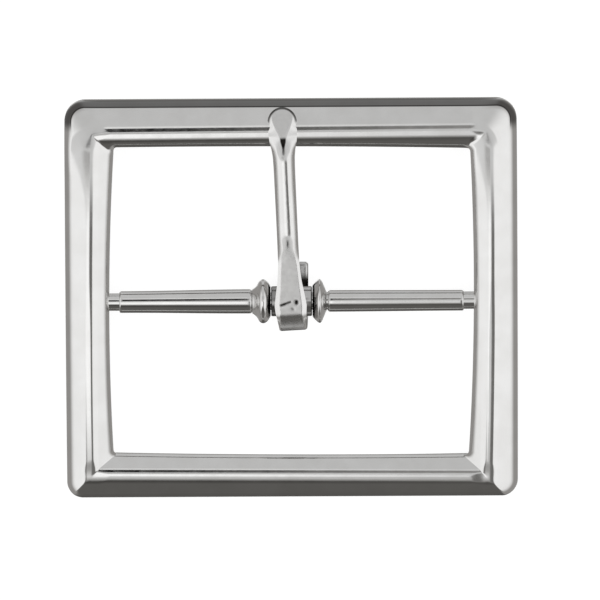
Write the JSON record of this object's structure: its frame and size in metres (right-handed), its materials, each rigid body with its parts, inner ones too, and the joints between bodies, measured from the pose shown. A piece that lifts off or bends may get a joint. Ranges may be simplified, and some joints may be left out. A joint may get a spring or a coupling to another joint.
{
  "type": "belt buckle",
  "caption": "Rectangular centre-bar belt buckle: a polished cast frame with domed rails, a collared bar across its opening, and a wrapped tongue that swings on the bar.",
  "frame": {"origin": "on the resting plane, under the middle of the frame's outline", "axes": "+X along the bar; +Y along the strap, towards the tongue's tip; +Z out of the front face, the buckle lying on its back"},
  "size_m": [0.0482, 0.0426, 0.0059],
  "materials": {
    "frame_plating": "polished",
    "bar_plating": "polished",
    "collar_plating": "polished",
    "tongue_plating": "polished"
  },
  "bodies": {
    "buckle": {"frame": "frame_plating", "axle_rod": "bar_plating", "left_spacer_tube": "bar_plating", "right_spacer_tube": "bar_plating", "left_collar": "collar_plating", "right_collar": "collar_plating", "hub_sleeve": "collar_plating"},
    "tongue_arm": {"tongue": "tongue_plating"}
  },
  "joints": [
    {"name": "tongue_swing", "type": "hinge", "parent": "buckle", "child": "tongue_arm", "pos_m": [0, -0.00017, 0.003], "axis": [1, 0, 0], "range_deg": [0, 166]}
  ]
}
